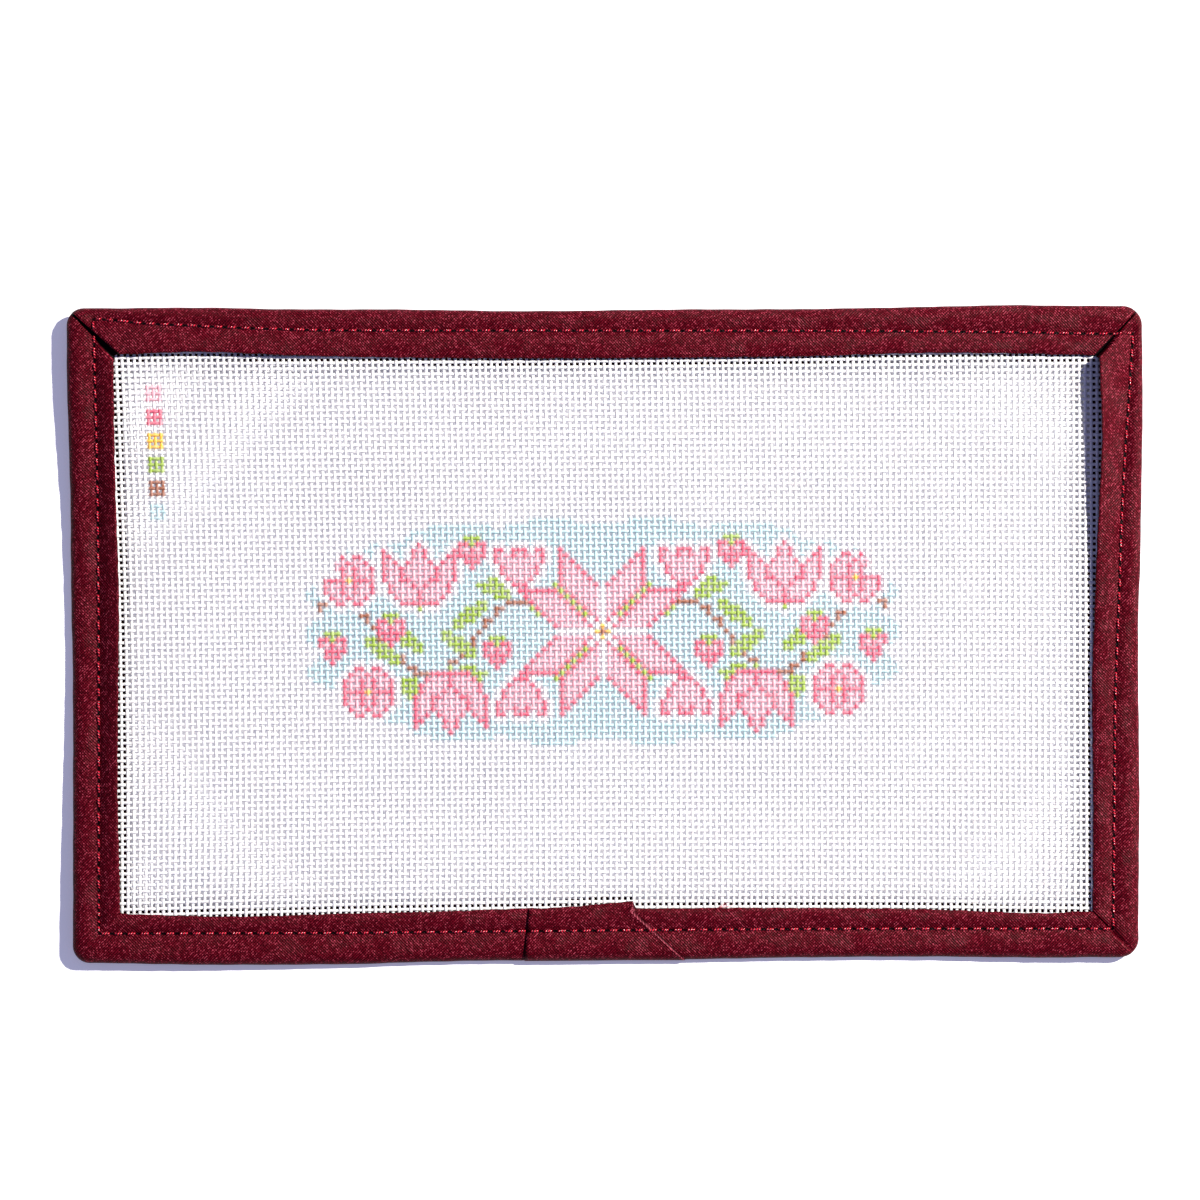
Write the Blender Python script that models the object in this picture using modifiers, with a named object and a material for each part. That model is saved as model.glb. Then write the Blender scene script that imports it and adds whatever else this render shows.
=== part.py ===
"""A needlepoint canvas panel, lying flat: a 10 by 6 inch mono canvas, bound all round in one length of tape.

Metres, +Z up, +X along the panel's length, +Y towards its top edge. The origin is under the middle of the
panel, on the surface that it lies on.
"""

import math
from collections import namedtuple

import bmesh
import bpy
from mathutils import Vector

MM = 0.001

# Thicknesses and heights, in millimetres
TAPE_THICK = 1.0
CANVAS_THICK = 1.0
CLEARANCE = 0.3
PANEL_THICK = 2 * TAPE_THICK + 2 * CLEARANCE + CANVAS_THICK
SLOT_FLOOR = TAPE_THICK
SLOT_ROOF = PANEL_THICK - TAPE_THICK

# The tape's section: how it rolls over the canvas edge, where the sewing pulls it down, and how its inner
# fold turns under
ROLL = 1.7
ROLL_SHARE = 0.6
ROLL_ANGLES = (35, 65)
CROWN_FALL = 0.1
SEAM_DEPTH = 0.25
SEAM_HALF_WIDTH = 0.6
EDGE_FOLD = 0.35
EDGE_FALL = 0.2
EDGE_NOSE = 0.4
LIFT_CURVE = 1.4

# Where the tape ends: its finish laps over its start, a little way along from a slanting bias join
LAP_GAP = 0.35
LAP_RISE = 0.3
LAP_OUTER, LAP_INNER = 19.4, 18.3
JOIN_OUTER, JOIN_INNER = -19.1, -5.9
JOIN_STEP = 0.5
FINISH_STEPS = 4

# Spacing of the sections along a straight side, and their distances from a corner
SPACING = 11.0
CORNER_STEPS = (1.6, 3.2, 5.0, 8.0, 12.0)
CORNER_ZONE = 17.0
MITRE_LIP = 0.5

# Canvas: the grid that carries its shape, its sag, and the soft ripples left by the roll it was cut from
HALF_LENGTH, HALF_WIDTH = 128.0, 77.4
CANVAS_INSET = TAPE_THICK + CLEARANCE
BINDING_WIDTH = 11.0
CANVAS_CELLS_X, CANVAS_CELLS_Y = 32, 20
CANVAS_CORNER_TRIM = 3.6
SAG = 0.85
SAG_FADE_X, SAG_FADE_Y = 55.0, 40.0
RIPPLE = 0.12
RIPPLE_LENGTH = 68.0
RIPPLE_SLANT = 0.55

# One row for each place along a side, in millimetres, in the direction that the tape runs. at: distance from
# the side's middle. edge: outer edge from the panel's middle. width: of the binding that shows. stitch: from
# the outer edge to the sewing. lift: how far the inner edge stands up off the canvas.
Row = namedtuple("Row", "at edge width stitch lift")

START_ROWS = (
    Row(18, 77.4, 11.6, 6.4, 0),
    Row(40, 77.6, 11.4, 6.4, 0),
    Row(60, 78.0, 11.1, 6.7, 0),
    Row(88, 78.1, 10.5, 6.6, 0),
    Row(107, 77.9, 10.7, 6.3, 0),
    Row(117, 77.8, 11.2, 6.2, 0),
)
LEFT_ROWS = (
    Row(-66, 127.4, 10.4, 5.7, 0),
    Row(-38, 127.5, 10.6, 5.8, 0),
    Row(-9, 127.5, 10.4, 5.8, 0),
    Row(10, 127.6, 10.7, 5.8, 0),
    Row(34, 128.2, 10.6, 6.1, 0),
    Row(62, 128.8, 10.3, 6.0, 0),
    Row(74, 129.0, 10.5, 5.9, 0),
)
TOP_ROWS = (
    Row(-116, 77.4, 10.5, 3.2, 0.4),
    Row(-97, 77.4, 9.8, 4.1, 0.9),
    Row(-76, 77.3, 10.7, 5.0, 0.5),
    Row(-50, 77.1, 10.7, 5.0, 0),
    Row(-20, 76.9, 11.0, 4.8, 0),
    Row(18, 77.1, 10.7, 5.0, 0),
    Row(47, 77.4, 11.0, 5.2, 0),
    Row(76, 77.9, 10.7, 5.9, 0),
    Row(97, 78.1, 10.7, 6.3, 0),
    Row(114, 78.1, 11.2, 6.6, 0),
)
RIGHT_ROWS = (
    Row(-74, 128.8, 9.7, 2.2, 1.7),
    Row(-62, 128.9, 9.6, 2.3, 2.3),
    Row(-48, 128.9, 9.4, 3.3, 2.3),
    Row(-34, 128.7, 9.6, 4.1, 1.7),
    Row(-19, 128.3, 9.9, 4.3, 0.9),
    Row(-4, 128.0, 10.3, 4.6, 0.3),
    Row(10, 127.8, 10.6, 4.8, 0),
    Row(38, 128.0, 10.6, 5.5, 0),
    Row(66, 128.0, 10.6, 5.8, 0),
)
BOTTOM_ROWS = (
    Row(-114, 76.5, 10.1, 6.1, 0),
    Row(-104, 76.9, 10.3, 6.5, 0),
    Row(-76, 76.7, 11.0, 6.3, 0),
    Row(-40, 76.7, 11.1, 6.2, 0),
    Row(-8, 77.1, 11.4, 6.4, 0),
)
FINISH_ROWS = (
    Row(-6, 77.1, 13.1, 6.4, 0),
    Row(4, 77.2, 12.2, 6.4, 0),
    Row(18, 77.5, 11.7, 6.4, 0),
)

# At a mitred corner: the outer edge's radius, and the width and depth of the crease between the folds
Corner = namedtuple("Corner", "radius gap depth")
BOTTOM_LEFT = Corner(3.9, 0.5, 0.25)
TOP_LEFT = Corner(5.8, 1.1, 0.6)
TOP_RIGHT = Corner(4.8, 0.9, 0.6)
BOTTOM_RIGHT = Corner(2.6, 0.5, 0.25)

# A run of tape along one side: the way it runs, the way out of the panel, its rows and its two ends
Run = namedtuple("Run", "along outward rows start end rise")
End = namedtuple("End", "outer inner corner")
# A section across the tape: its two ends in plan, and what shapes it between them
Section = namedtuple("Section", "outer inner width stitch lift rise seam crease")

SQUARE_CUT = Corner(0, 0, 0)
UP, RIGHT, DOWN, LEFT = Vector((0, 1)), Vector((1, 0)), Vector((0, -1)), Vector((-1, 0))


def read(rows, column, at):
    """A column's value at a place along a side, on a smooth curve through the rows."""
    at = min(max(at, rows[0].at), rows[-1].at)
    index = max(i for i in range(len(rows) - 1) if rows[i].at <= at)
    near = [getattr(rows[min(max(i, 0), len(rows) - 1)], column) for i in range(index - 1, index + 3)]
    before, start, end, after = near
    t = (at - rows[index].at) / (rows[index + 1].at - rows[index].at)
    slope_in = (end - before) / 2
    slope_out = (after - start) / 2
    rise = end - start
    square = 3 * rise - 2 * slope_in - slope_out
    cube = slope_in + slope_out - 2 * rise
    return start + t * (slope_in + t * (square + t * cube))


def corner_end(rows, neighbour, corner, way):
    """Where a run ends at a corner: on its neighbour's outer edge outside, and on its inner edge inside."""
    return End(way * neighbour.edge, way * (neighbour.edge - neighbour.width), corner)


def tape_runs():
    """The six runs of the tape, from its start at the bottom, clockwise round the panel to its finish."""
    lap_start = End(LAP_OUTER + LAP_GAP, LAP_INNER + LAP_GAP, SQUARE_CUT)
    join = End(JOIN_OUTER, JOIN_INNER, SQUARE_CUT)
    after_join = End(JOIN_OUTER + JOIN_STEP, JOIN_INNER + JOIN_STEP, SQUARE_CUT)
    lap_finish = End(LAP_OUTER, LAP_INNER, SQUARE_CUT)
    sides = (
        (LEFT, DOWN, START_ROWS, None, BOTTOM_LEFT),
        (UP, LEFT, LEFT_ROWS, BOTTOM_LEFT, TOP_LEFT),
        (RIGHT, UP, TOP_ROWS, TOP_LEFT, TOP_RIGHT),
        (DOWN, RIGHT, RIGHT_ROWS, TOP_RIGHT, BOTTOM_RIGHT),
        (LEFT, DOWN, BOTTOM_ROWS, BOTTOM_RIGHT, None),
    )
    runs = []
    for number, (along, outward, rows, first, last) in enumerate(sides):
        start = corner_end(rows, sides[number - 1][2][-1], first, -1) if first else lap_start
        end = corner_end(rows, sides[number + 1][2][0], last, 1) if last else join
        runs.append(Run(along, outward, rows, start, end, 0))
    runs.append(Run(LEFT, DOWN, FINISH_ROWS, after_join, lap_finish, LAP_RISE))
    return runs


def outer_point(run, at):
    """A point on the outer edge, which turns a corner on an arc."""
    edge = read(run.rows, "edge", at)
    for end, way in ((run.start, -1), (run.end, 1)):
        radius = end.corner.radius
        room = (end.outer - at) * way
        if room < radius:
            turn = (1 - room / radius) * math.pi / 4
            edge += radius * (math.cos(turn) - 1)
            at = end.outer + way * radius * (math.sin(turn) - 1)
            break
    return run.along * at + run.outward * edge


def section_at(run, outer_at, inner_at, on_mitre=False, in_zone=False):
    """The section across the tape between a place on its outer edge and one on its inner edge."""
    edge, width = read(run.rows, "edge", inner_at), read(run.rows, "width", inner_at)
    return Section(
        outer=outer_point(run, outer_at),
        inner=run.along * inner_at + run.outward * (edge - width),
        width=width,
        stitch=read(run.rows, "stitch", outer_at),
        lift=0 if on_mitre else read(run.rows, "lift", inner_at),
        rise=run.rise,
        seam=0 if in_zone else SEAM_DEPTH,
        crease=run.end.corner.depth if on_mitre else 0,
    )


def end_pairs(end, way):
    """Pairs of places, outer and inner, from an end of a run to where its sections stand square."""
    pairs = [(end.outer, end.inner)]
    square = end.outer - way * CORNER_ZONE
    if end.corner.gap:
        pairs.append((end.outer - way * MITRE_LIP, end.inner - way * end.corner.gap / 2))
    first_outer, first_inner = pairs[-1]
    for step in CORNER_STEPS:
        share = (step - abs(first_outer - end.outer)) / (CORNER_ZONE - abs(first_outer - end.outer))
        pairs.append((end.outer - way * step, first_inner + share * (square - first_inner)))
    return pairs + [(square, square)]


def run_sections(run):
    """The sections of one run. A mitre belongs to the run that ends there, and the next one leaves it out."""
    starting, ending = end_pairs(run.start, -1), end_pairs(run.end, 1)
    if run.rows is FINISH_ROWS:
        shares = [number / FINISH_STEPS for number in range(FINISH_STEPS + 1)]
        (outer_a, inner_a), (outer_b, inner_b) = starting[0], ending[0]
        return [
            section_at(run, outer_a + share * (outer_b - outer_a), inner_a + share * (inner_b - inner_a))
            for share in shares
        ]
    first, last = starting[-1][0], ending[-1][0]
    count = round((last - first) / SPACING)
    middle = [first + (last - first) * number / count for number in range(1, count)]
    skip = 1 if run.start.corner.gap else 0
    sections = [section_at(run, *pair, in_zone=run.start.corner.gap > 0) for pair in starting[skip:-1]]
    sections += [section_at(run, at, at) for at in [first, *middle, last]]
    sections += [section_at(run, *pair, in_zone=run.end.corner.gap > 0) for pair in ending[-2:0:-1]]
    on_mitre = run.end.corner.gap > 0
    return sections + [section_at(run, *ending[0], on_mitre=on_mitre, in_zone=on_mitre)]


def section_outline(section):
    """The tape's outline across itself: (distance in from the outer edge, height), once round the U."""
    width, stitch = section.width, section.stitch
    roll = min(ROLL, ROLL_SHARE * stitch)
    top = PANEL_THICK + section.rise
    middle = (stitch + width) / 2
    half_lift = section.lift * 0.5**LIFT_CURVE
    shoulder = SEAM_HALF_WIDTH
    upper_roll, lower_roll = [], []
    for degrees in ROLL_ANGLES:
        turn = math.radians(degrees)
        inward = roll * (1 - math.cos(turn))
        upper_roll.append((inward, top / 2 + top / 2 * math.sin(turn)))
        lower_roll.append((inward, top / 2 - top / 2 * math.sin(turn)))
    flap = top - CROWN_FALL - section.crease
    over = [
        (roll, top),
        (stitch - shoulder, top - CROWN_FALL),
        (stitch, flap - section.seam),
        (stitch + shoulder, flap),
        (middle, flap + half_lift),
        (width - EDGE_FOLD, top - EDGE_FALL - section.crease + section.lift),
        (width, SLOT_ROOF + EDGE_NOSE * (TAPE_THICK - section.crease) + section.lift),
        (width - EDGE_FOLD, SLOT_ROOF + section.lift),
        (middle, SLOT_ROOF + half_lift),
        (stitch, SLOT_ROOF),
    ]
    under = [
        (CANVAS_INSET, SLOT_ROOF),
        (TAPE_THICK, SLOT_ROOF - CLEARANCE),
        (TAPE_THICK, SLOT_FLOOR + CLEARANCE),
        (CANVAS_INSET, SLOT_FLOOR),
        (width - EDGE_FOLD, SLOT_FLOOR),
        (width, TAPE_THICK / 2),
        (width - EDGE_FOLD, 0),
        (roll, 0),
    ]
    return [(0, top / 2)] + upper_roll + over + under + lower_roll[::-1]


def binding_mesh(sections):
    """The tape as one closed body, lofted through its sections and closed at its two cut ends."""
    shape = bmesh.new()
    rings = []
    for section in sections:
        ring = []
        for inward, height in section_outline(section):
            plan = section.outer.lerp(section.inner, inward / section.width)
            ring.append(shape.verts.new((plan.x * MM, plan.y * MM, height * MM)))
        rings.append(ring)
    for ring, following in zip(rings, rings[1:]):
        for number in range(len(ring)):
            after = (number + 1) % len(ring)
            shape.faces.new((ring[number], ring[after], following[after], following[number]))
    shape.faces.new(rings[0])
    shape.faces.new(rings[-1][::-1])
    bmesh.ops.recalc_face_normals(shape, faces=shape.faces)
    return finished_mesh(shape, "binding")


def canvas_height(x, y):
    """Height of the canvas's middle layer: level in the binding, sagging and a little rippled between."""
    room_x = HALF_LENGTH - BINDING_WIDTH - abs(x)
    room_y = HALF_WIDTH - BINDING_WIDTH - abs(y)
    fade = 1
    for room, reach in ((room_x, SAG_FADE_X), (room_y, SAG_FADE_Y)):
        share = min(max(room / reach, 0), 1)
        fade *= share * share * (3 - 2 * share)
    ripple = RIPPLE * math.sin(2 * math.pi * (x + RIPPLE_SLANT * y) / RIPPLE_LENGTH)
    return PANEL_THICK / 2 - fade * (SAG + ripple)


def canvas_mesh():
    """The canvas's middle layer: a grid fitted inside the binding, with its four corners trimmed."""
    shape = bmesh.new()
    bmesh.ops.create_grid(shape, x_segments=CANVAS_CELLS_X, y_segments=CANVAS_CELLS_Y, size=1)
    for vertex in shape.verts:
        share_x, share_y = vertex.co.x, vertex.co.y
        across, up = share_x * HALF_LENGTH, share_y * HALF_WIDTH
        bottom_rows = FINISH_ROWS if across < -JOIN_OUTER else BOTTOM_ROWS
        if across < -LAP_OUTER:
            bottom_rows = START_ROWS
        west, east = read(LEFT_ROWS, "edge", up) - CANVAS_INSET, read(RIGHT_ROWS, "edge", -up) - CANVAS_INSET
        north = read(TOP_ROWS, "edge", across) - CANVAS_INSET
        south = read(bottom_rows, "edge", -across) - CANVAS_INSET
        x = (east - west) / 2 + share_x * (east + west) / 2
        y = (north - south) / 2 + share_y * (north + south) / 2
        if len(vertex.link_edges) == 2:
            x -= math.copysign(CANVAS_CORNER_TRIM - CANVAS_INSET, x)
            y -= math.copysign(CANVAS_CORNER_TRIM - CANVAS_INSET, y)
        vertex.co = (x * MM, y * MM, canvas_height(x, y) * MM)
    return finished_mesh(shape, "canvas")


def finished_mesh(shape, name):
    mesh = bpy.data.meshes.new(name)
    shape.to_mesh(mesh)
    shape.free()
    return mesh


def cloth(name, colour, roughness):
    """A plain matt cloth."""
    material = bpy.data.materials.new(name)
    material.use_nodes = True
    shader = material.node_tree.nodes["Principled BSDF"]
    shader.inputs["Base Color"].default_value = (*colour, 1)
    shader.inputs["Roughness"].default_value = roughness
    shader.inputs["Metallic"].default_value = 0
    return material


def add_part(name, mesh, material, collection):
    part = bpy.data.objects.new(name, mesh)
    collection.objects.link(part)
    mesh.materials.append(material)
    return part


def main():
    for old in list(bpy.data.objects):
        bpy.data.objects.remove(old)
    panel = bpy.data.collections.new("needlepoint_canvas_panel")
    bpy.context.scene.collection.children.link(panel)

    sections = [section for run in tape_runs() for section in run_sections(run)]
    burgundy = cloth("burgundy_cotton_tape", (0.147, 0.006, 0.019), 0.85)
    binding = add_part("binding", binding_mesh(sections), burgundy, panel)
    binding.data.shade_smooth()
    binding.data.set_sharp_from_angle(angle=math.radians(40))

    white = cloth("white_cotton_canvas", (0.88, 0.88, 0.86), 0.9)
    canvas = add_part("canvas", canvas_mesh(), white, panel)
    thickness = canvas.modifiers.new("thickness", "SOLIDIFY")
    thickness.thickness = CANVAS_THICK * MM
    thickness.offset = 0


main()
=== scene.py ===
import math
from collections import namedtuple
from functools import partial

import bpy
import numpy as np
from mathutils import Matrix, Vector
from mathutils.bvhtree import BVHTree


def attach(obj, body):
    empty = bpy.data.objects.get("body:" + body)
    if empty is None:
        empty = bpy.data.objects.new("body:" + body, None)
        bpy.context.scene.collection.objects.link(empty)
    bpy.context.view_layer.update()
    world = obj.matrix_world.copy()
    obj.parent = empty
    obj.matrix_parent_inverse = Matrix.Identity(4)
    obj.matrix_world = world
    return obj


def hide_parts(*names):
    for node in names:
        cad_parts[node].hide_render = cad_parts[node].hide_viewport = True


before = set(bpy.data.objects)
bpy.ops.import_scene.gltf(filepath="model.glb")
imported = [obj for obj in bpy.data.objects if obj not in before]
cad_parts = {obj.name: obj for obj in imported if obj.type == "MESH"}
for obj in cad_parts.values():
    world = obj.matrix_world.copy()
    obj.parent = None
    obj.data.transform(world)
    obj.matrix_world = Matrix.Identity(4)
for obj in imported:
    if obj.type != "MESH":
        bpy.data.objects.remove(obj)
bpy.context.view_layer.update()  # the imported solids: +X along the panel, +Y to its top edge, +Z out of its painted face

# --------------------------------------------------------------------
# Canvas threads. The canvas is white cotton mono canvas, 18 threads to the inch: stiff, sized and rounded
# threads, woven over one and under one so that a needle goes down every hole. It was cut from a roll, and
# its edges are sewn inside the tape, which holds it a little askew and sagging softly to the middle.
MM = 0.001
PITCH_ACROSS, PITCH_UP = 1.408, 1.419
THREAD_HALF_WIDTH, THREAD_HALF_HEIGHT = 0.375, 0.19
THREAD_SIDES = 6
THREAD_WAVE = 0.12
CROWN_SHARE = 0.26
OPENING_WEST, OPENING_EAST, OPENING_SOUTH, OPENING_NORTH = -117.8, 118.4, -66.5, 67.7
HIDDEN_MARGIN = 2.4
WEAVE_EAST, WEAVE_NORTH = -0.22, 0.28
COLUMNS, ROWS = np.arange(-87, 90), np.arange(-52, 53)

# How uneven it is: how far a thread and a crossing stray from their places, what share of a thread's straying
# the next one keeps, and how much threads differ in thickness from one to the next and along one
THREAD_DRIFT, CROSSING_DRIFT, DRIFT_KEPT = 0.02, 0.009, 0.5
STOUTNESS_SPREAD, SLUB_SPREAD = 0.03, 0.025

# How the weave lies: its lengthwise threads lean to the left towards the top, most at the left edge, and
# its crosswise threads climb a little to the right and bow up along the bottom edge
LEAN_WEST, LEAN_EAST = 2.85, 0.36
CLIMB = math.tan(math.radians(0.41))
BOW = 1.0
HALF_OPENING_X, HALF_OPENING_Y = 117.5, 66.5

# The canvas's height: real tape is thinner than its solid in the frame, so the canvas lies lower in it
SHEET_MIDDLE = 1.2
SAG, SAG_FADE_X, SAG_FADE_Y = 0.55, 55.0, 40.0
RIPPLE, RIPPLE_LENGTH, RIPPLE_SLANT = 0.1, 68.0, 0.55
SAG_HALF_LENGTH, SAG_HALF_WIDTH = 117.0, 66.4

# The panel's corners curl up off the surface that it lies on, the two on the left the most
CurledCorner = namedtuple("CurledCorner", "x y lift reach")
CURLED_CORNERS = (
    CurledCorner(-128, 77, 2.2, 75),
    CurledCorner(-128, -77, 1.7, 85),
    CurledCorner(128, -77, 0.9, 70),
    CurledCorner(128, 77, 0.8, 60),
)

dice = np.random.default_rng(18)
scene = bpy.context.scene


def smooth(share):
    share = np.clip(share, 0, 1)
    return share * share * (3 - 2 * share)


def canvas_height(x, y):
    """Height of the canvas's middle layer, in mm: level in the tape, sagging and rippled between."""
    fade = smooth((SAG_HALF_LENGTH - np.abs(x)) / SAG_FADE_X)
    fade = fade * smooth((SAG_HALF_WIDTH - np.abs(y)) / SAG_FADE_Y)
    ripple = RIPPLE * np.sin(2 * np.pi * (x + RIPPLE_SLANT * y) / RIPPLE_LENGTH)
    return SHEET_MIDDLE - fade * (SAG + ripple)


def curl(x, y):
    """How far the curling corners raise the whole panel at a place, in mm."""
    raised = 0
    for corner in CURLED_CORNERS:
        raised = raised + corner.lift * smooth(1 - np.hypot(x - corner.x, y - corner.y) / corner.reach)
    return raised


def wander(count):
    """A small uneven drift from one thread to the next, which never strays far."""
    drift, value = [], 0.0
    for kick in dice.normal(0, THREAD_DRIFT, count):
        value = value * DRIFT_KEPT + kick
        drift.append(value)
    return np.array(drift)


column_grid, row_grid = np.meshgrid(COLUMNS, ROWS, indexing="ij")
square_x, square_y = column_grid * PITCH_ACROSS + WEAVE_EAST, row_grid * PITCH_UP + WEAVE_NORTH
up_share = np.clip(square_y / (2 * HALF_OPENING_Y) + 0.5, 0, 1.15)
east_share = np.clip(square_x / (2 * HALF_OPENING_X) + 0.5, -0.1, 1.1)
crossing_x = square_x - (LEAN_WEST + (LEAN_EAST - LEAN_WEST) * east_share) * up_share**2
crossing_y = square_y + CLIMB * square_x + BOW * (1 - (square_x / HALF_OPENING_X) ** 2) * (1 - up_share)
crossing_x += wander(len(COLUMNS))[:, None]
crossing_y += wander(len(ROWS))[None, :]
crossing_x += dice.normal(0, CROSSING_DRIFT, crossing_x.shape)
crossing_y += dice.normal(0, CROSSING_DRIFT, crossing_y.shape)
lengthwise_on_top = (column_grid + row_grid) % 2 == 0
sewn_in = (
    (crossing_x > OPENING_WEST - HIDDEN_MARGIN)
    & (crossing_x < OPENING_EAST + HIDDEN_MARGIN)
    & (crossing_y > OPENING_SOUTH - HIDDEN_MARGIN)
    & (crossing_y < OPENING_NORTH + HIDDEN_MARGIN)
)


def tube(path, side, half_widths, half_heights, sides):
    """Rings of points round a path, (ring, side, xyz): side is the unit vector out to its left."""
    turn = 2 * np.pi * np.arange(sides) / sides
    out = np.cos(turn)[None, :, None] * np.asarray(side)[..., None, :] * half_widths[:, None, None]
    rise = np.sin(turn)[None, :, None] * np.array([0, 0, 1]) * half_heights[:, None, None]
    return path[:, None, :] + out + rise


def tube_faces(tubes):
    """The quads between the rings of many tubes, and the faces that close their ends."""
    quads, caps, base = [], [], 0
    for rings in tubes:
        count, sides = rings.shape[:2]
        index = base + np.arange(count * sides).reshape(count, sides)
        turned = np.roll(index, -1, axis=1)
        quads.append(np.stack([index[:-1], turned[:-1], turned[1:], index[1:]], axis=-1).reshape(-1, 4))
        caps += [index[0, ::-1].tolist(), index[-1].tolist()]
        base += count * sides
    return np.concatenate(quads), caps


def new_piece(name, points, faces):
    """A smooth-shaded mesh object from points in millimetres, raised where the panel's corners curl."""
    mesh = bpy.data.meshes.new(name)
    raised = points.copy()
    raised[:, 2] += curl(points[:, 0], points[:, 1])
    mesh.from_pydata((raised * MM).tolist(), [], faces)
    mesh.shade_smooth()
    piece = bpy.data.objects.new(name, mesh)
    scene.collection.objects.link(piece)
    return piece


def tube_piece(name, tubes):
    """A piece made of tubes, with its points and the quads of their sides."""
    points = np.concatenate([rings.reshape(-1, 3) for rings in tubes])
    quads, caps = tube_faces(tubes)
    return new_piece(name, points, quads.tolist() + caps), points, quads


def face_corners(mesh):
    """The point that each corner of each face uses, in the mesh's own order."""
    corners = np.empty(len(mesh.loops), dtype=np.int32)
    mesh.loops.foreach_get("vertex_index", corners)
    return corners


def add_map(mesh, name, places):
    mesh.uv_layers.new(name=name).data.foreach_set("uv", places.astype(np.float32).ravel())


def bake_map(mesh, points, quad_count, along):
    """Flattens threads from above: upper faces fill one half of the map, and lower faces the other."""
    corners = face_corners(mesh)
    quad_corners = corners[: quad_count * 4].reshape(-1, 4)
    plan = points[:, :2].copy()
    low, size = plan.min(axis=0) - 1, np.ptp(plan, axis=0) + 2
    flat = plan[corners]
    level = points[quad_corners[:, 0] // THREAD_SIDES * THREAD_SIDES][:, 2]
    middle = points[quad_corners][:, :, 2].mean(axis=1) - level
    lower = np.zeros(len(corners))
    lower[: quad_count * 4] = np.repeat(middle < 0, 4)
    # The faces that close a thread are upright, so they are turned out flat past its ends
    cap_rise = points[corners[quad_count * 4 :]][:, 2]
    end = flat[quad_count * 4 :, along]
    away = np.where(end > plan[:, along].mean(), 1, -1)
    flat[quad_count * 4 :, along] = end + away * (0.1 + 0.4 * (cap_rise - cap_rise.min()) / np.ptp(cap_rise))
    share = (flat - low) / size
    share[:, 1 - along] = (share[:, 1 - along] + lower) / 2
    add_map(mesh, "OFBake", share)


def woven_thread(number, lengthwise):
    """One thread's rings and the crossing of each ring, two rings to every crown or dip."""
    if lengthwise:
        here = sewn_in[number]
        x, y, top = crossing_x[number], crossing_y[number], lengthwise_on_top[number]
        side = (-1, 0, 0)
    else:
        here = sewn_in[:, number]
        x, y, top = crossing_x[:, number], crossing_y[:, number], ~lengthwise_on_top[:, number]
        side = (0, 1, 0)
    step_x, step_y = np.gradient(x), np.gradient(y)
    shares = np.array([-CROWN_SHARE, CROWN_SHARE])
    ring_x = (x[:, None] + shares * step_x[:, None])[here].ravel()
    ring_y = (y[:, None] + shares * step_y[:, None])[here].ravel()
    wave = np.repeat(np.where(top, THREAD_WAVE, -THREAD_WAVE)[here], 2)
    path = np.stack([ring_x, ring_y, canvas_height(ring_x, ring_y) + wave], axis=1)
    stout = 1 + dice.normal(0, STOUTNESS_SPREAD) + dice.normal(0, SLUB_SPREAD, len(path))
    half_heights = np.full(len(path), THREAD_HALF_HEIGHT)
    rings = tube(path, side, THREAD_HALF_WIDTH * stout, half_heights, THREAD_SIDES)
    return rings, np.repeat(np.flatnonzero(here), 2)


def thread_piece(name, numbers, lengthwise):
    """A third of the lengthwise or crosswise threads in one mesh, with the column and row of each point."""
    tubes, columns, rows = [], [], []
    for number in numbers:
        rings, crossings = woven_thread(number, lengthwise)
        tubes.append(rings)
        own = np.full(len(crossings), number)
        columns.append(own if lengthwise else crossings)
        rows.append(crossings if lengthwise else own)
    piece, points, quads = tube_piece(name, tubes)
    bake_map(piece.data, points, len(quads), 1 if lengthwise else 0)
    columns, rows = (np.repeat(np.concatenate(part), THREAD_SIDES) for part in (columns, rows))
    return piece, columns, rows


lengthwise_numbers = [n for n in range(len(COLUMNS)) if sewn_in[n].any()]
crosswise_numbers = [n for n in range(len(ROWS)) if sewn_in[:, n].any()]
canvas_pieces = []
for place, numbers in zip(("left", "middle", "right"), np.array_split(lengthwise_numbers, 3)):
    canvas_pieces.append(thread_piece(f"canvas_threads_{place}", numbers, True))
for place, numbers in zip(("lower", "centre", "upper"), np.array_split(crosswise_numbers, 3)):
    canvas_pieces.append(thread_piece(f"canvas_threads_{place}", numbers, False))

for piece, _, _ in canvas_pieces:
    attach(piece, "root")
    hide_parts("canvas")
    length, width = sorted(piece.dimensions[:2], reverse=True)

# --------------------------------------------------------------------
# Paint. The design is painted by hand on the threads, a colour to each crossing as it will be stitched: a
# key of six colours near the top left corner, and a sampler of tulips, bells, daisies and berries round a
# star, on a pale blue medallion. It is thin acrylic, and little of it goes through to the back.

# By their letters in the charts: pale blue, light pink, deep pink, lime green, nut brown and yellow
PAINTS = {"b": "#bcdadc", "l": "#f3aeb9", "d": "#e85472", "g": "#93b30c", "n": "#9a522a", "y": "#f8ba00"}
UNPAINTED = "w"
HALF_COLUMNS, HALF_ROWS = 50, 19
SCALLOPS, SCALLOP_DEPTH, CORNER_FULLNESS, EDGE_SLACK = 9, 0.07, 3, 0.02
KEY_COLUMN, KEY_TOP_ROW, KEY_STEP = -75, 41, 4
KEY_ORDER = "ldygnb"

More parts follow.
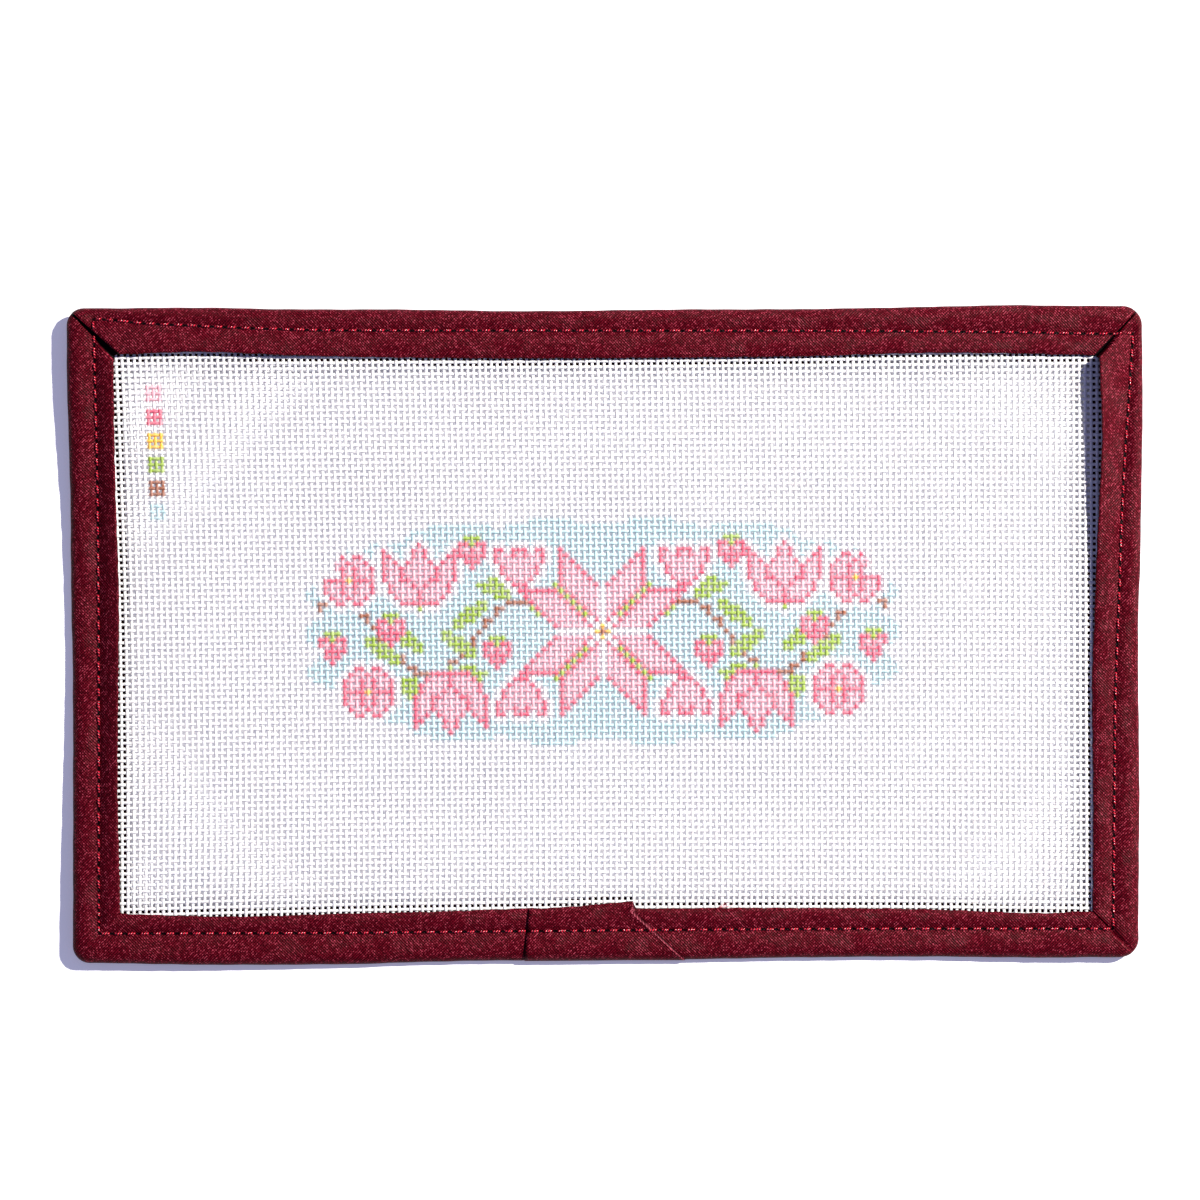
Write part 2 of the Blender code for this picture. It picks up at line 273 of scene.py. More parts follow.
# Half charts, mirrored about their last letter: . leaves the ground as it is
TULIP = (
    "......d",
    "d....dl",
    "dd...dl",
    "dld.dll",
    "dlldlll",
    "dlldlll",
    "dllddll",
    ".dllldl",
    ".dlllld",
    "..dllld",
    "...dddd",
    "......g",
)
BELL = (
    "...dd",
    "..dll",
    ".dlll",
    ".dlll",
    "dllll",
    "dlldl",
    "dd.dd",
)
DAISY = (
    "..dd.",
    ".dlld",
    "dlldl",
    "dlldl",
    "ddddy",
    "dlldl",
    "dlldl",
    ".dlld",
    "..dd.",
)
BERRY = (
    ".gg",
    "ddg",
    "dld",
    "ddd",
    ".dd",
    "..d",
)
# Whole charts
LEAF = (
    "..ggg..",
    ".gggggg",
    "gggggg.",
    ".ggg...",
)
SPRIG = (
    "....gg",
    "..gggg",
    ".gggg.",
    "gggg..",
    "gg....",
)

chart = {}
for column in range(-HALF_COLUMNS, HALF_COLUMNS + 1):
    for row in range(-HALF_ROWS, HALF_ROWS + 1):
        across, up = column / HALF_COLUMNS, row / HALF_ROWS
        turn = math.atan2(up, across)
        full = abs(math.cos(turn)) ** CORNER_FULLNESS + abs(math.sin(turn)) ** CORNER_FULLNESS
        edge = full ** (-1 / CORNER_FULLNESS) * (1 - SCALLOP_DEPTH * (1 - abs(math.cos(SCALLOPS * turn))))
        if math.hypot(across, up) <= edge + EDGE_SLACK:
            chart[column, row] = "b"


def dab(column, row, paint):
    """Paints a crossing of the medallion, and the one that mirrors it."""
    for side in (column, -column):
        if (side, row) in chart:
            chart[side, row] = paint


def stamp(lines, column, row, flip=False, turn=False, halo=False):
    """Lays a small chart round a crossing: flipped sideways, turned over, or parted from the ground."""
    lines = [line[::-1] for line in lines] if flip else lines
    lines = lines[::-1] if turn else lines
    left, top = column - len(lines[0]) // 2, row + len(lines) // 2
    cells = [
        (left + across, top - down, letter)
        for down, line in enumerate(lines)
        for across, letter in enumerate(line)
        if letter != "."
    ]
    for across, up, _ in cells if halo else ():
        for step_across, step_up in ((0, 1), (1, 0), (0, -1), (-1, 0)):
            dab(across + step_across, up + step_up, UNPAINTED)
    for across, up, letter in cells:
        dab(across, up, letter)


def mirrored(lines):
    return [line + line[-2::-1] for line in lines]


def stem(points):
    """A brown line, one crossing wide."""
    for (x0, y0), (x1, y1) in zip(points, points[1:]):
        steps = max(1, int(2 * max(abs(x1 - x0), abs(y1 - y0))))
        for step in range(steps + 1):
            share = step / steps
            dab(round(x0 + share * (x1 - x0)), round(y0 + share * (y1 - y0)), "n")


def star(arm, width):
    """The old eight-petalled star in the middle: two leaning petals in each quarter, with lime between."""
    size = arm + width
    for x in range(-size, size + 1):
        for y in range(-size, size + 1):
            far, near = max(abs(x), abs(y)), min(abs(x), abs(y))
            if 0 < near <= width and near < far <= near + arm:
                rim = far == near + arm or near == width or far == near + 1
                dab(x, y, "d" if rim else "l")
            elif far == near and far <= width + 1:
                dab(x, y, "g" if far > 2 else UNPAINTED)
            elif near == 0 and far <= arm:
                dab(x, y, "y" if far < 2 else UNPAINTED)
    dab(0, 0, "n")


VINE_MIDDLE, VINE_SWING, VINE_PEAK, VINE_HALF_WAVE = -1, 6.4, 14, 15.5
stem([
    (column, VINE_MIDDLE + VINE_SWING * math.cos((column - VINE_PEAK) / VINE_HALF_WAVE * math.pi))
    for column in range(9, HALF_COLUMNS)
])
stem([(13, 5), (13, 8)])
stem([(29, -7), (27, -10)])
stem([(45, 5), (44, 9)])
for column, row, flip in ((18, 7, False), (9, 4, True), (33, -10, False), (23, -8, True), (40, 8, True)):
    stamp(LEAF, column, row, flip=flip)
for column, row, flip, turn in (
    (23, 3, True, False), (25, -2, False, False), (38, -3, False, False), (34, -1, True, True),
):
    stamp(SPRIG, column, row, flip=flip, turn=turn)
stamp(mirrored(TULIP), 31, 9, halo=True)
stamp(mirrored(TULIP), 26, -12, turn=True)
stamp(mirrored(BELL), 14, 11, turn=True, halo=True)
stamp(mirrored(BELL), 14, -11, halo=True)
stamp(mirrored(DAISY), 40, -10, halo=True)
stamp(mirrored(DAISY), 43, 9, halo=True)
for column, row in ((22, 13), (18, -4), (36, 0), (46, -3)):
    stamp(mirrored(BERRY), column, row)
star(7, 7)

for step, letter in enumerate(KEY_ORDER):
    for column in (-1, 0, 1):
        for row in (-1, 0, 1):
            chart[KEY_COLUMN + column, KEY_TOP_ROW - KEY_STEP * step + row] = letter


def linear(colour):
    """An sRGB hex colour as linear red, green and blue."""
    parts = [int(colour[start : start + 2], 16) / 255 for start in (1, 3, 5)]
    return [part / 12.92 if part <= 0.04045 else ((part + 0.055) / 1.055) ** 2.4 for part in parts]


# Each crossing's colour, with how thickly the brush left it there, and the share of it that each side of a
# thread takes, from its edge over its crown and round below
BRUSHED, BRUSHED_SPREAD = 0.94, 0.06
SIDE_PAINT = np.array([0.9, 1.0, 1.0, 0.9, 0.25, 0.25])
paint_grid = np.ones((len(COLUMNS), len(ROWS), 4))
paint_grid[..., 3] = 0
for (column, row), letter in chart.items():
    if letter != UNPAINTED:
        thick = min(1.0, dice.normal(BRUSHED, BRUSHED_SPREAD))
        paint_grid[column - COLUMNS[0], row - ROWS[0]] = [*linear(PAINTS[letter]), thick]

for piece, columns, rows in canvas_pieces:
    colours = paint_grid[columns, rows]
    colours[:, 3] *= np.tile(SIDE_PAINT, len(colours) // THREAD_SIDES)
    layer = piece.data.color_attributes.new("paint", "FLOAT_COLOR", "POINT")
    layer.data.foreach_set("color", colours.astype(np.float32).ravel())


def fill(made, *values, **named):
    """Gives a node its settings by name and its inputs in order or by name. Nodes and sockets are linked."""
    for name in [name for name in named if hasattr(made, name)]:
        setattr(made, name, named.pop(name))
    inputs = [socket for socket in made.inputs if socket.enabled]
    by_name = {socket.name.replace(" ", "_"): socket for socket in inputs}
    for socket, value in [*zip(inputs, values), *((by_name[name], named[name]) for name in named)]:
        if isinstance(value, bpy.types.Node):
            value = next(output for output in value.outputs if output.enabled)
        if isinstance(value, bpy.types.NodeSocket):
            made.id_data.links.new(value, socket)
        else:
            socket.default_value = (*linear(value), 1) if isinstance(value, str) else value
    return made


def node(tree, kind, *values, **named):
    """Adds a shader node of a kind, filled with its settings and inputs."""
    return fill(tree.nodes.new("ShaderNode" + kind), *values, **named)


def new_material(name):
    """A new material, node() for its own tree, and its shader."""
    material = bpy.data.materials.new(name)
    material.use_nodes = True
    tree = material.node_tree
    return material, partial(node, tree), tree.nodes["Principled BSDF"]


# Sized cotton thread: two plies laid round each other at about 0.8 mm a turn, drawn as slanting ridges, and
# a starch that gives the crowns a faint gloss. Where it was painted, the white shows through unevenly.
COTTON_WHITE, COTTON_SHADE = "#f8f7f5", "#eceae8"
PLY_TURN, PLY_HEIGHT = 0.8 * MM, 0.06 * MM
FUZZ_PER_MM, MOTTLING_PER_MM = 2.6, 0.045
WAVE_AT_SCALE_ONE = 0.31416


def canvas_material(name, slant):
    material, add, shader = new_material(name)
    place = add("TexCoord").outputs["Object"]
    fuzz = add("TexNoise", Vector=place, Scale=FUZZ_PER_MM / MM, Detail=3)
    mottling = add("TexNoise", Vector=place, Scale=MOTTLING_PER_MM / MM, Detail=2)
    cotton = add("Mix", mottling, COTTON_WHITE, COTTON_SHADE, data_type="RGBA")
    paint = add("Attribute", attribute_name="paint").outputs
    patchy = add("MapRange", fuzz, 0.3, 0.62, 0.78, 1.0)
    cover = add("Math", paint["Alpha"], patchy, operation="MULTIPLY")
    colour = add("Mix", cover, cotton, paint["Color"], data_type="RGBA")
    turned = add("VectorRotate", Vector=place, Angle=math.radians(slant), rotation_type="Z_AXIS")
    ridges = WAVE_AT_SCALE_ONE / PLY_TURN * 2
    plies = add("TexWave", Vector=turned, Scale=ridges, Distortion=0.6, Detail=1)
    relief = add("Math", plies, fuzz, operation="ADD")
    bump = add("Bump", Strength=0.35, Distance=PLY_HEIGHT, Height=relief)
    fill(shader, Base_Color=colour, Roughness=0.62, Normal=bump, Subsurface_Weight=0.4,
         Subsurface_Radius=(1.0, 0.92, 0.85), Subsurface_Scale=0.5 * MM, Specular_IOR_Level=0.4)
    return material


lengthwise_cotton = canvas_material("sized_cotton_lengthwise_threads", 40)
crosswise_cotton = canvas_material("sized_cotton_crosswise_threads", 50)
for number, (piece, _, _) in enumerate(canvas_pieces):
    piece.data.materials.append(lengthwise_cotton if number < 3 else crosswise_cotton)

# --------------------------------------------------------------------
# Binding tape. One length of burgundy bias-cut cotton tape, double fold, is folded over the canvas edge all
# round and mitred at the corners. It starts and ends on the bottom edge, where the finishing end laps over
# the start, a little way along from a slanting seam that joins two lengths of the tape.

# Across it, in millimetres: how far it rolls over the canvas's edge, which is at most a share of the way to
# the sewing, the heights of the roll's middle and of its crown, and how far the flap falls to its edge
ROLL, ROLL_SHARE = 3.0, 0.6
ROLL_MIDDLE, CROWN, FLAP_FALL = 1.15, 3.0, 0.3
FLAP_DOME, EDGE_ROUND, EDGE_ROUND_REACH = 0.2, 0.22, 1.2
FLAP_THICKNESS, NOSE = 0.9, 0.4
UNDER_REACH, UNDER_LOWEST, UNDER_EDGE, UNDER_THICKNESS = 1.5, 0.05, 0.18, 0.45
SLOT_INSET, SLOT_TOP, SLOT_BOTTOM = 1.2, 1.7, 0.72
LIFT_CURVE, LIFT_RAMP = 1.4, 0.5
WAVER = 0.05

# Where its points lie: distances from the sewing, on the face and below, and along it from a mitre
SEAM_STEPS = (-0.9, -0.6, -0.35, -0.15, 0, 0.15, 0.35, 0.6, 0.9, 1.4)
UNDER_SEAM_STEPS = (0.35, 0.15, 0, -0.15, -0.35, -0.7)
STATION_GAP, CORNER_ZONE = 1.0, 17.0
CORNER_STEPS = (0, 0.12, 0.3, 0.55, 0.9, 1.4, 2, 2.8, 3.7, 4.7, 5.8, 6.9, *range(8, 18))

# Along each side, in millimetres, in the direction that the tape runs. at: distance from the side's middle.
# edge: outer edge from the panel's middle. width: of the tape that shows. stitch: from the outer edge to
# the sewing. lift: how far the inner edge stands up off the canvas.
Row = namedtuple("Row", "at edge width stitch lift")
START_ROWS = (
    Row(10, 78.2, 12.6, 7.4, 0),
    Row(18, 78.1, 12.6, 7.1, 0),
    Row(40, 78.4, 12.1, 7.2, 0),
    Row(60, 79.0, 12.3, 7.6, 0),
    Row(88, 79.1, 11.7, 7.7, 0),
    Row(107, 78.9, 11.9, 7.5, 0),
    Row(117, 78.6, 12.0, 7.2, 0),
)
LEFT_ROWS = (
    Row(-66, 127.4, 11.6, 6.4, 0.9),
    Row(-38, 127.5, 11.1, 6.3, 1.6),
    Row(-9, 127.7, 11.4, 6.5, 1.9),
    Row(10, 128.1, 11.9, 6.7, 1.9),
    Row(34, 128.2, 11.3, 6.7, 1.7),
    Row(62, 128.8, 11.5, 6.8, 1.1),
    Row(74, 128.8, 11.4, 6.6, 0.5),
)
TOP_ROWS = (
    Row(-116, 78.1, 11.2, 3.1, 0.4),
    Row(-97, 78.3, 10.8, 4.6, 0.9),
    Row(-76, 78.0, 11.2, 4.9, 0.5),
    Row(-50, 78.0, 11.7, 5.2, 0),
    Row(-20, 77.6, 11.5, 4.8, 0),
    Row(18, 78.0, 11.7, 5.3, 0),
    Row(47, 78.1, 11.5, 5.4, 0),
    Row(76, 78.6, 11.2, 6.0, 0),
    Row(97, 79.0, 11.7, 6.7, 0),
    Row(114, 78.8, 11.9, 6.8, 0),
)
RIGHT_ROWS = (
    Row(-74, 128.5, 11.1, 2.4, 2.9),
    Row(-62, 128.7, 11.0, 3.1, 3.6),
    Row(-48, 128.7, 10.4, 4.0, 3.2),
    Row(-34, 128.5, 10.6, 4.6, 2.3),
    Row(-19, 128.3, 10.9, 5.0, 1.1),
    Row(-4, 127.8, 10.8, 5.0, 0.3),
    Row(10, 127.8, 11.3, 5.6, 0),
    Row(38, 128.0, 11.3, 6.2, 0),
    Row(66, 127.7, 11.2, 6.3, 0),
)
BOTTOM_ROWS = (
    Row(-114, 77.3, 11.1, 6.9, 0),
    Row(-104, 77.4, 10.8, 7.1, 0),
    Row(-76, 77.2, 11.5, 6.8, 0),
    Row(-40, 77.5, 12.1, 6.9, 0),
    Row(-8, 78.1, 12.6, 7.4, 0),
)
FINISH_ROWS = (
    Row(-6, 78.1, 14.3, 7.3, 0),
    Row(4, 78.2, 13.4, 7.4, 0),
    Row(18, 78.3, 12.7, 7.3, 0),
)

# A mitre is two folds that meet over a gap: how wide it is at the outer and the inner corner, how deep as a
# share of the way to its floor, how broad its floor, and how far the tape stands up before and after it
Corner = namedtuple("Corner", "radius outer_gap inner_gap depth floor before after")
BOTTOM_LEFT = Corner(4.2, 0.3, 0.3, 0.12, 0.1, 0, 0)
TOP_LEFT = Corner(4.2, 0.35, 1.9, 1.0, 0.85, -0.15, 0.2)
TOP_RIGHT = Corner(4.8, 0.3, 0.8, 0.9, 0.8, 0.15, 0)
BOTTOM_RIGHT = Corner(4.6, 1.3, 0.3, 0.5, 0.15, 0, 0.2)
SQUARE_CUT = None
GAP_FLOOR, GAP_UNDERSIDE, LIP_ROUND, STAND_FADE = 1.75, 0.25, 0.15, 8.0
End = namedtuple("End", "outer inner corner")
Run = namedtuple("Run", "along outward rows start end")
UP, RIGHT, DOWN, LEFT = (np.array(way) for way in ((0, 1), (1, 0), (0, -1), (-1, 0)))

# The slanting join, and the finishing end past it, which is wider and ends in a raw corner at the join
LAP_OUTER, LAP_INNER = 19.4, 18.3
TUCKED_START = 7.0
JOIN_OUTER, JOIN_INNER = -19.1, -6.0
BEFORE_JOIN, PAST_JOIN = (1.2, 0.6, 0.3, 0.1), (0.06, 0.15, 0.3, 0.55, 1.0, 1.8)
JOIN_SHAPE = ((0, 0.12, 0.3, 0.6, 1.2), (-0.12, 0.3, 0.32, 0.22, 0.15))
# Past the join, how strongly its ridge is painted with a highlight, and on the run before it, how dark the
# valley by the join is painted, as shadow
RIDGE_HIGHLIGHT_SHAPE = ((0, 0.06, 0.15, 0.3), (0, 1, 1, 0))
JOIN_VALLEY, VALLEY_REACH, JOIN_PAINTED_SHADOW, JOIN_PAINTED_SHADOW_REACH = 0.12, 0.3, 0.6, 0.25
JOIN_RISE, LAP_RISE, LAP_CLIMB = 0.15, 0.42, 38
START_DIP, DIP_FROM, DIP_FADE = 0.15, 24, 6
KNEE, RAW_EDGE, RAW_STEP = 11.9, 12.2, 0.7

# How dark the cloth is painted inside the fold, as painted shade, and from what depth a mitre's gap is
# painted dark too, as painted shade
FOLD_PAINTED_SHADE, PAINTED_SHADE_DEPTH, PAINTED_SHADE_FADE = 0.8, 0.5, 0.3


def read(rows, column, at):
    """A column's value at a place along a side, on a smooth curve through the rows."""
    at = min(max(at, rows[0].at), rows[-1].at)
    index = max(i for i in range(len(rows) - 1) if rows[i].at <= at)
    before, start, end, after = (
        getattr(rows[min(max(i, 0), len(rows) - 1)], column) for i in range(index - 1, index + 3)
    )
    t = (at - rows[index].at) / (rows[index + 1].at - rows[index].at)
    slope_in, slope_out, rise = (end - before) / 2, (after - start) / 2, end - start
    bend = slope_in + slope_out - 2 * rise
    return start + t * (slope_in + t * (3 * rise - 2 * slope_in - slope_out + t * bend))


def tape_runs():
    """The six runs of the tape, from its tucked-in start at the bottom, clockwise round to its finish."""
    sides = (
        (LEFT, DOWN, START_ROWS, None, BOTTOM_LEFT),
        (UP, LEFT, LEFT_ROWS, BOTTOM_LEFT, TOP_LEFT),
        (RIGHT, UP, TOP_ROWS, TOP_LEFT, TOP_RIGHT),
        (DOWN, RIGHT, RIGHT_ROWS, TOP_RIGHT, BOTTOM_RIGHT),
        (LEFT, DOWN, BOTTOM_ROWS, BOTTOM_RIGHT, None),
    )
    runs = []
    for number, (along, outward, rows, first, last) in enumerate(sides):
        start = End(LAP_OUTER - TUCKED_START, LAP_INNER - TUCKED_START, SQUARE_CUT)
        end = End(JOIN_OUTER, JOIN_INNER, SQUARE_CUT)
        if first:
            beside = sides[number - 1][2][-1]
            start = End(-beside.edge, beside.width - beside.edge, first)
        if last:
            beside = sides[number + 1][2][0]
            end = End(beside.edge, beside.edge - beside.width, last)
        runs.append(Run(along, outward, rows, start, end))
    finish = End(LAP_OUTER, LAP_INNER, SQUARE_CUT)
    return runs + [Run(LEFT, DOWN, FINISH_ROWS, End(JOIN_OUTER, JOIN_INNER, SQUARE_CUT), finish)]


def outer_point(run, at):
    """A point on the outer edge, which turns a corner on an arc."""
    edge = read(run.rows, "edge", at) + WAVER * math.sin(at / 1.9) * math.sin(at / 5.3 + 1)
    for end, way in ((run.start, -1), (run.end, 1)):
        room = (end.outer - at) * way
        if end.corner and room < end.corner.radius:
            turn = (1 - room / end.corner.radius) * math.pi / 4
            edge += end.corner.radius * (math.cos(turn) - 1)
            at = end.outer + way * end.corner.radius * (math.sin(turn) - 1)
            break
    return run.along * at + run.outward * edge


# A place along the tape: where it is on the outer and the inner edge, whether it is in a mitre's gap, and how
# far it is from the gap's lip at either edge
Station = namedtuple("Station", "outer inner corner way sunk lip_outer lip_inner")
FAR = 99


def plain_station(outer, inner):
    return Station(outer, inner, None, 0, 0, FAR, FAR)


def fan(end, way):
    """The places by a mitre, which fan out from it until they lie square across the tape."""
    corner = end.corner
    half_outer, half_inner = corner.outer_gap * math.sqrt(0.5), corner.inner_gap * math.sqrt(0.5)
    fanned = []
    for share in (0, corner.floor):
        place = end.outer - way * share * half_outer, end.inner - way * share * half_inner
        fanned.append(Station(*place, corner, way, 1, 0, 0))
    square = end.outer - way * CORNER_ZONE
    outer, inner = end.outer - way * half_outer, end.inner - way * half_inner
    for step in CORNER_STEPS:
        share = step / CORNER_ZONE
        place = outer + (square - outer) * share, inner + (square - inner) * share
        fanned.append(Station(*place, corner, way, 0, step, abs(square - inner) * share))
    return fanned


def plain(first, last):
    """Even places from one to another."""
    count = max(1, round(abs(last[0] - first[0]) / STATION_GAP))
    return [
        plain_station(*(a + (b - a) * number / count for a, b in zip(first[:2], last[:2])))
        for number in range(count + 1)
    ]


def stations(run):
    """The places along a run where the tape's shape is worked out, close together near a mitre or a join."""
    if run.rows is FINISH_ROWS:
        joined = [plain_station(JOIN_OUTER + past, JOIN_INNER + past) for past in PAST_JOIN]
        return joined[:-1] + plain(joined[-1], (run.end.outer, run.end.inner))
    first = fan(run.start, -1) if run.start.corner else [(run.start.outer, run.start.inner)]
    if run.end.corner:
        last = fan(run.end, 1)[::-1]
    else:
        slanting = (JOIN_OUTER - BEFORE_JOIN[0], JOIN_INNER - BEFORE_JOIN[0])
        last = plain((slanting[1] - CORNER_ZONE, slanting[1] - CORNER_ZONE), slanting)
        last += [plain_station(JOIN_OUTER - back, JOIN_INNER - back) for back in (*BEFORE_JOIN[1:], 0)]
    between = plain(first[-1], last[0])
    return (first[1:] if run.start.corner else between[:1]) + between[1:-1] + last


# The line of machine sewing, in millimetres, clockwise from the bottom left corner: for each side its
# places, the lengths of its first stitches, which are short where the work was turned, and that of the rest
STITCH_SPREAD = 0.16
SEWING_LEFT = ((-121.0, -71.4), (-121.4, 15.2), (-121.5, 36.8), (-121.8, 53.9), (-122.2, 75.4))
SEWING_TOP = ((-122.2, 75.4), (-115.6, 75.0), (-112.1, 74.4), (-105.5, 74.1), (-86.5, 73.3),
              (-66.8, 72.8), (58.5, 72.7), (94.5, 72.4), (119.8, 71.9), (127.1, 72.1))
SEWING_RIGHT = ((126.1, 72.1), (125.8, 66.5), (124.8, 50.5), (124.2, 42.2), (123.4, 23.9), (123.1, 13.8),
                (122.0, -15.7), (121.4, -70.3))
SEWING_BOTTOM = ((121.4, -70.3), (58.5, -70.4), (-1.3, -70.8), (-61.7, -71.4), (-121.0, -71.4))
SEWING_SIDES = (
    (SEWING_LEFT, (2.07, 1.55, 1.8, 2.33, 2.46), 3.28),
    (SEWING_TOP, (2.45, 2.6, 3.8), 3.2),
    (SEWING_RIGHT, (), 3.25),
    (SEWING_BOTTOM, (), 3.1),
)


def needle_holes():
    """Where the needle went down, in turn round the panel."""
    holes = []
    for points, short, stitch in SEWING_SIDES:
        points = np.array(points)
        reach = np.concatenate([[0], np.cumsum(np.hypot(*np.diff(points, axis=0).T))])
        turned = np.cumsum((0, *short))
        count = round((reach[-1] - turned[-1]) / stitch)
        even = np.linspace(turned[-1], reach[-1], count + 1)[1:-1]
        places = np.concatenate([turned, even + dice.normal(0, STITCH_SPREAD, count - 1)])
        holes.append(np.stack([np.interp(places, reach, points[:, axis]) for axis in (0, 1)], axis=1))
    return np.concatenate(holes)


holes = needle_holes()
next_holes = np.roll(holes, -1, axis=0)
stitch_lengths = np.hypot(*(next_holes - holes).T)


def sewing_near(plan):
    """How far places are from the sewing, in mm, their share of the way along that stitch, and its length."""
    leg = next_holes - holes
    share = np.clip(((plan[:, None, :] - holes) * leg).sum(-1) / (leg**2).sum(-1), 0, 1)
    foot = holes + share[..., None] * leg
    away = np.hypot(*np.moveaxis(plan[:, None, :] - foot, 2, 0))
    nearest = away.argmin(axis=1)
    each = np.arange(len(plan))
    return np.stack([away[each, nearest], share[each, nearest], stitch_lengths[nearest]])


def profile(width, stitch, lift, crown):
    """The tape across itself: (distance in from its outer edge, height, face), once round the folded U."""
    roll = min(ROLL, ROLL_SHARE * stitch)
    reach = width + UNDER_REACH

    def surface(inward):
        past_stitch = max(0, (inward - stitch) / (width - stitch))
        fall = FLAP_FALL * float(smooth((inward - roll) / (width - roll)))
        dome = FLAP_DOME * math.sin(math.pi * past_stitch)
        rounding = EDGE_ROUND * max(0, 1 - (width - inward) / EDGE_ROUND_REACH) ** 2
        return crown - fall + dome - rounding + lift * past_stitch**LIFT_CURVE

    points = [
        (roll * (1 - math.cos(turn)), ROLL_MIDDLE + (crown - ROLL_MIDDLE) * math.sin(turn), 1)
        for turn in np.linspace(0, math.pi / 2, 9)
    ]
    near_stitch, past_seam, near_edge = stitch - 1.6, stitch + SEAM_STEPS[-1], width - NOSE - 0.9
    across = [roll + (near_stitch - roll) * share for share in (0.5, 1)] if near_stitch > roll + 0.4 else []
    across += [stitch + step for step in SEAM_STEPS]
    across += [past_seam + (near_edge - stitch - SEAM_STEPS[-1]) * share for share in (0.25, 0.5, 0.75, 1)]
    across += [width - NOSE - 0.6, width - NOSE - 0.3]
    if len(across) < 18:
        across[0:0] = [roll + (across[0] - roll) * share for share in (0.4, 0.75)]
    points += [(inward, surface(inward), 1) for inward in across]
    edge = surface(width) + 0.08
    for turn in np.linspace(math.pi / 2, -math.pi / 2, 7):
        height = edge + FLAP_THICKNESS / 2 * (math.sin(turn) - 1)
        points.append((width + NOSE * (math.cos(turn) - 1), height, 1 if turn > 0.1 else 0))
    # Inside the fold and round the turned-under edge below
    flap_middle = (width + stitch) / 2
    points += [(flap_middle, max(surface(flap_middle) - FLAP_THICKNESS, SLOT_TOP), 0)]
    points += [(stitch, SLOT_TOP, 0), (SLOT_INSET, SLOT_TOP, 0), (SLOT_INSET - 0.2, ROLL_MIDDLE, 0)]
    points += [(SLOT_INSET, SLOT_BOTTOM, 0), (stitch, SLOT_BOTTOM, 0)]
    for back, share, face in ((0.3, 1, 0), (0, 0.8, 0), (-0.05, 0.5, 0)):
        points.append((reach - back, UNDER_EDGE + UNDER_THICKNESS * share, face))
    points += [(reach, UNDER_EDGE + 0.1, -1), (reach - 0.3, UNDER_EDGE, -1)]
    under = [stitch + 0.7 + (reach - stitch - 1) * share for share in (0.66, 0.33, 0)]
    for inward in under + [stitch + step for step in UNDER_SEAM_STEPS]:
        rise = UNDER_EDGE * float(smooth((inward - roll) / (reach - roll)))
        points.append((inward, UNDER_LOWEST + rise, -1))
    for turn in np.linspace(math.pi / 2, 0, 9)[:-1]:
        points.append((roll * (1 - math.cos(turn)), ROLL_MIDDLE * (1 - math.sin(turn)) + 0.02, -1))
    return np.array(points)


def stands(run, station):
    """How far the tape stands up at a place along it: at a mitre, past the join, at the lap, or tucked in."""
    if station.corner:
        stand = station.corner.before if station.way == 1 else station.corner.after
        return stand * float(1 - smooth(station.lip_outer / STAND_FADE))
    past = station.outer - JOIN_OUTER
    if run.rows is FINISH_ROWS:
        climb = (LAP_RISE - JOIN_RISE) * float(smooth(past / LAP_CLIMB))
        return float(np.interp(past, *JOIN_SHAPE)) + climb
    if run.rows is BOTTOM_ROWS:
        return -JOIN_VALLEY * math.exp(past / VALLEY_REACH)
    return -START_DIP * float(smooth((DIP_FROM - station.outer) / DIP_FADE)) if run.rows is START_ROWS else 0


def tape_ring(run, station):
    """The tape's points at a place along it: their places and heights, and which face each is on."""
    width, stitch = read(run.rows, "width", station.inner), read(run.rows, "stitch", station.outer)
    width += WAVER * math.sin(station.inner / 1.4) + WAVER * math.sin(station.inner / 0.71 + 2)
    lift = read(run.rows, "lift", station.inner) * float(smooth((station.lip_inner + 0.1) / LIFT_RAMP))
    inward, height, face = profile(width, stitch, lift, CROWN + stands(run, station)).T
    outer = outer_point(run, station.outer)
    inner = run.along * station.inner + run.outward * (read(run.rows, "edge", station.inner) - width)
    plan = outer + (inward / width)[:, None] * (inner - outer)
    if run.rows is FINISH_ROWS:
        left = 1 - (station.inner - JOIN_INNER) / (LAP_INNER - JOIN_INNER)
        raw = station.inner - RAW_STEP * left
        at = np.interp(inward, (0, KNEE, RAW_EDGE), (station.outer, station.inner, raw))
        straight = read(run.rows, "edge", station.outer) - inward
        plan = run.along * at[:, None] + run.outward * straight[:, None]
    if station.corner:
        inside = smooth((inward - 0.3) / 1.2)
        over = (face >= 0) & (height > GAP_FLOOR)
        sinking = station.sunk * station.corner.depth * inside
        lip = station.lip_outer + (station.lip_inner - station.lip_outer) * np.clip(inward / width, 0, 1)
        rounding = LIP_ROUND * station.corner.depth * inside * np.exp(-lip / 0.35) * (1 - station.sunk)
        height = np.where(over, GAP_FLOOR + (height - GAP_FLOOR) * (1 - sinking) - rounding, height)
        height += np.where(face < 0, GAP_UNDERSIDE * station.sunk * station.corner.depth * inside, 0)
    return np.column_stack([plan, height]), face


def cloth_places(run, ring):
    """Where the points of a ring lie in the cloth, in mm along and across it."""
    across = ring[:, :2] @ run.outward
    steps = np.hypot(np.diff(across), np.diff(ring[:, 2]))
    return np.column_stack([ring[:, :2] @ run.along, run.rows[0].edge - across[0] + np.cumsum([0, *steps])])
